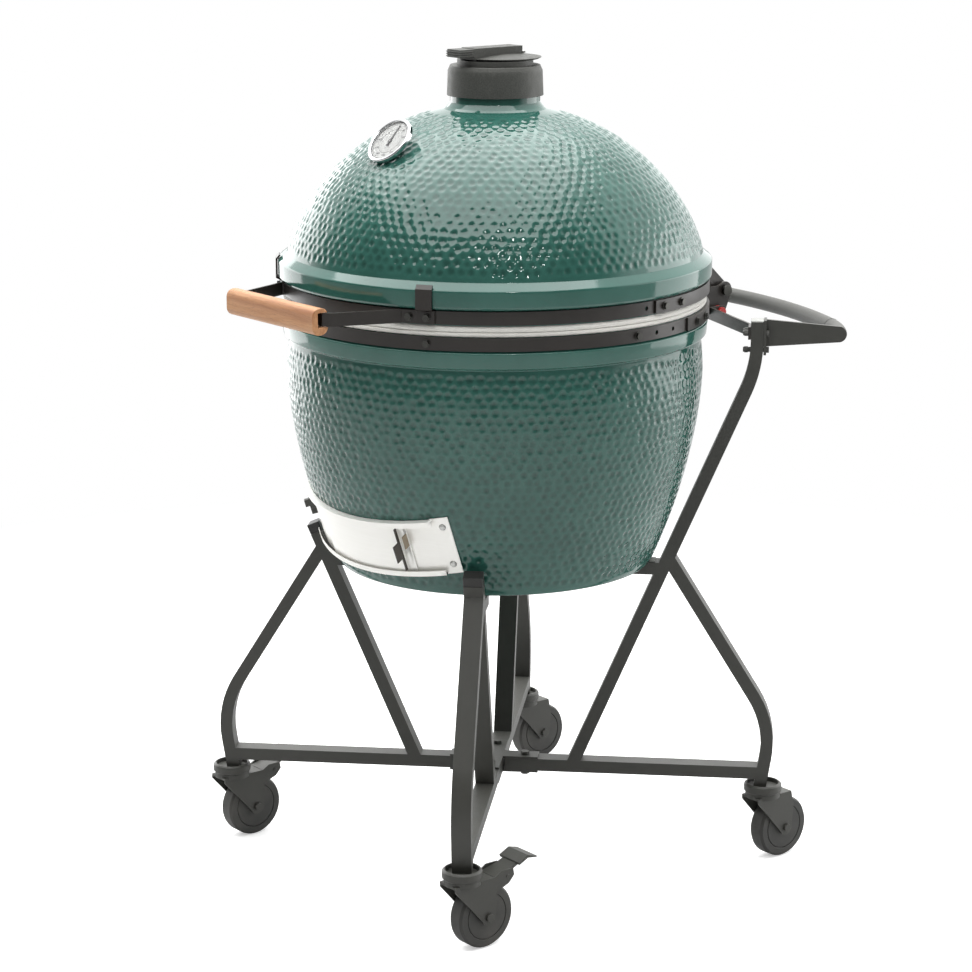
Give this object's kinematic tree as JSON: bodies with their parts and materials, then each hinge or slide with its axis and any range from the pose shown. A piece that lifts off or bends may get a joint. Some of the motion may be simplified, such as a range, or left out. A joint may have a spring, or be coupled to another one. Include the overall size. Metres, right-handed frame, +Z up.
{
  "type": "kamado grill",
  "caption": "Egg-shaped ceramic charcoal grill with a hinged dome, wooden lifting handle, sliding vent cap, draft door and fire box, on a four-leg rolling cart.",
  "frame": {"origin": "on the floor, under the middle of the grill's overall width and length", "axes": "+Z up, -Y towards the cook at the front, where the handle, thermometer and draft door are, +X to the right of a viewer who looks along +Y"},
  "size_m": [0.7842, 0.9363, 1.3112],
  "materials": {
    "glaze": "glossy, dimpled",
    "clay": "matt, unglazed",
    "felt": "felt",
    "band_paint": "satin",
    "powder_coat": "fine texture",
    "cast_iron": "matt",
    "stainless": "brushed",
    "steel": "satin",
    "chrome": "polished",
    "wood": "oiled",
    "dial": "printed",
    "needle": "satin",
    "glass": "clear",
    "grey_plastic": "moulded",
    "red_plastic": "moulded",
    "wheel_rubber": "satin"
  },
  "bodies": {
    "cart": {"base_shell": "glaze", "base_gasket": "felt", "lower_band": "band_paint", "lower_band_bolts": "powder_coat", "hinge_lower_bracket": "band_paint", "hinge_pin": "steel", "hinge_springs": "steel", "fire_box": "clay", "fire_ring": "clay", "fire_grate": "cast_iron", "cooking_grid": "stainless", "draft_frame": "stainless", "draft_frame_screws": "steel", "draft_stop": "powder_coat", "leg_front_left": "powder_coat", "leg_front_right": "powder_coat", "leg_rear_left": "powder_coat", "leg_rear_right": "powder_coat", "leg_caps": "grey_plastic", "cart_hub": "powder_coat", "cart_bolts": "powder_coat", "support_pads": "grey_plastic", "push_handle": "powder_coat", "rear_stays": "band_paint", "stay_bushings": "red_plastic", "caster_cup_front_left": "powder_coat", "caster_cup_front_right": "powder_coat", "caster_cup_rear_left": "powder_coat", "caster_cup_rear_right": "powder_coat"},
    "dome": {"dome_shell": "glaze", "dome_gasket": "felt", "upper_band": "band_paint", "upper_band_bolts": "powder_coat", "hinge_upper_bracket": "band_paint", "handle_bracket": "band_paint", "handle_grip": "wood", "handle_screws": "steel", "vent_collar": "cast_iron", "vent_pivot_pin": "steel", "thermometer_case": "chrome", "thermometer_dial": "dial", "thermometer_lens": "glass"},
    "vent_cap": {"vent_disc": "cast_iron"},
    "needle": {"thermometer_needle": "needle"},
    "draft_door": {"draft_door": "stainless"},
    "draft_screen": {"draft_screen": "stainless"},
    "fork_front_left": {"caster_fork_front_left": "powder_coat", "caster_axle_front_left": "powder_coat"},
    "wheel_front_left": {"caster_wheel_front_left": "wheel_rubber"},
    "fork_front_right": {"caster_fork_front_right": "powder_coat", "caster_axle_front_right": "powder_coat"},
    "wheel_front_right": {"caster_wheel_front_right": "wheel_rubber"},
    "fork_rear_left": {"caster_fork_rear_left": "powder_coat", "caster_axle_rear_left": "powder_coat"},
    "wheel_rear_left": {"caster_wheel_rear_left": "wheel_rubber"},
    "fork_rear_right": {"caster_fork_rear_right": "powder_coat", "caster_axle_rear_right": "powder_coat"},
    "wheel_rear_right": {"caster_wheel_rear_right": "wheel_rubber"},
    "pedal_front_left": {"brake_pedal_front_left": "powder_coat"},
    "pedal_front_right": {"brake_pedal_front_right": "powder_coat"}
  },
  "joints": [
    {"name": "dome_lift", "type": "hinge", "parent": "cart", "child": "dome", "pos_m": [0, 0.34683, 0.905], "axis": [-1, 0, 0], "range_deg": [0, 70]},
    {"name": "vent_swing", "type": "hinge", "parent": "dome", "child": "vent_cap", "pos_m": [0, 0.01683, 1.294], "axis": [0, 0, 1], "range_deg": [0, 100]},
    {"name": "needle_turn", "type": "hinge", "parent": "dome", "child": "needle", "pos_m": [0, -0.24417, 1.1825], "axis": [0, 0.7431, -0.6691], "range_deg": [0, 270]},
    {"name": "draft_door_slide", "type": "hinge", "parent": "cart", "child": "draft_door", "pos_m": [0, -0.03547, 0.6671], "axis": [0, 0.3256, -0.9455], "range_deg": [0, 20]},
    {"name": "draft_screen_slide", "type": "hinge", "parent": "cart", "child": "draft_screen", "pos_m": [0, -0.03547, 0.6671], "axis": [0, -0.3256, 0.9455], "range_deg": [0, 9]},
    {"name": "swivel_front_left", "type": "hinge", "parent": "cart", "child": "fork_front_left", "pos_m": [-0.30971, -0.34788, 0.105], "axis": [0, 0, 1], "continuous": true},
    {"name": "roll_front_left", "type": "hinge", "parent": "fork_front_left", "child": "wheel_front_left", "pos_m": [-0.30971, -0.31188, 0.05], "axis": [1, 0, 0], "continuous": true},
    {"name": "swivel_front_right", "type": "hinge", "parent": "cart", "child": "fork_front_right", "pos_m": [0.30971, -0.34788, 0.105], "axis": [0, 0, 1], "continuous": true},
    {"name": "roll_front_right", "type": "hinge", "parent": "fork_front_right", "child": "wheel_front_right", "pos_m": [0.30971, -0.31188, 0.05], "axis": [1, 0, 0], "continuous": true},
    {"name": "swivel_rear_left", "type": "hinge", "parent": "cart", "child": "fork_rear_left", "pos_m": [-0.30971, 0.27154, 0.105], "axis": [0, 0, 1], "continuous": true},
    {"name": "roll_rear_left", "type": "hinge", "parent": "fork_rear_left", "child": "wheel_rear_left", "pos_m": [-0.30971, 0.30754, 0.05], "axis": [1, 0, 0], "continuous": true},
    {"name": "swivel_rear_right", "type": "hinge", "parent": "cart", "child": "fork_rear_right", "pos_m": [0.30971, 0.27154, 0.105], "axis": [0, 0, 1], "continuous": true},
    {"name": "roll_rear_right", "type": "hinge", "parent": "fork_rear_right", "child": "wheel_rear_right", "pos_m": [0.30971, 0.30754, 0.05], "axis": [1, 0, 0], "continuous": true},
    {"name": "brake_front_left", "type": "hinge", "parent": "fork_front_left", "child": "pedal_front_left", "pos_m": [-0.30971, -0.27588, 0.107], "axis": [-1, 0, 0], "range_deg": [0, 10]},
    {"name": "brake_front_right", "type": "hinge", "parent": "fork_front_right", "child": "pedal_front_right", "pos_m": [0.30971, -0.27588, 0.107], "axis": [-1, 0, 0], "range_deg": [0, 10]}
  ]
}
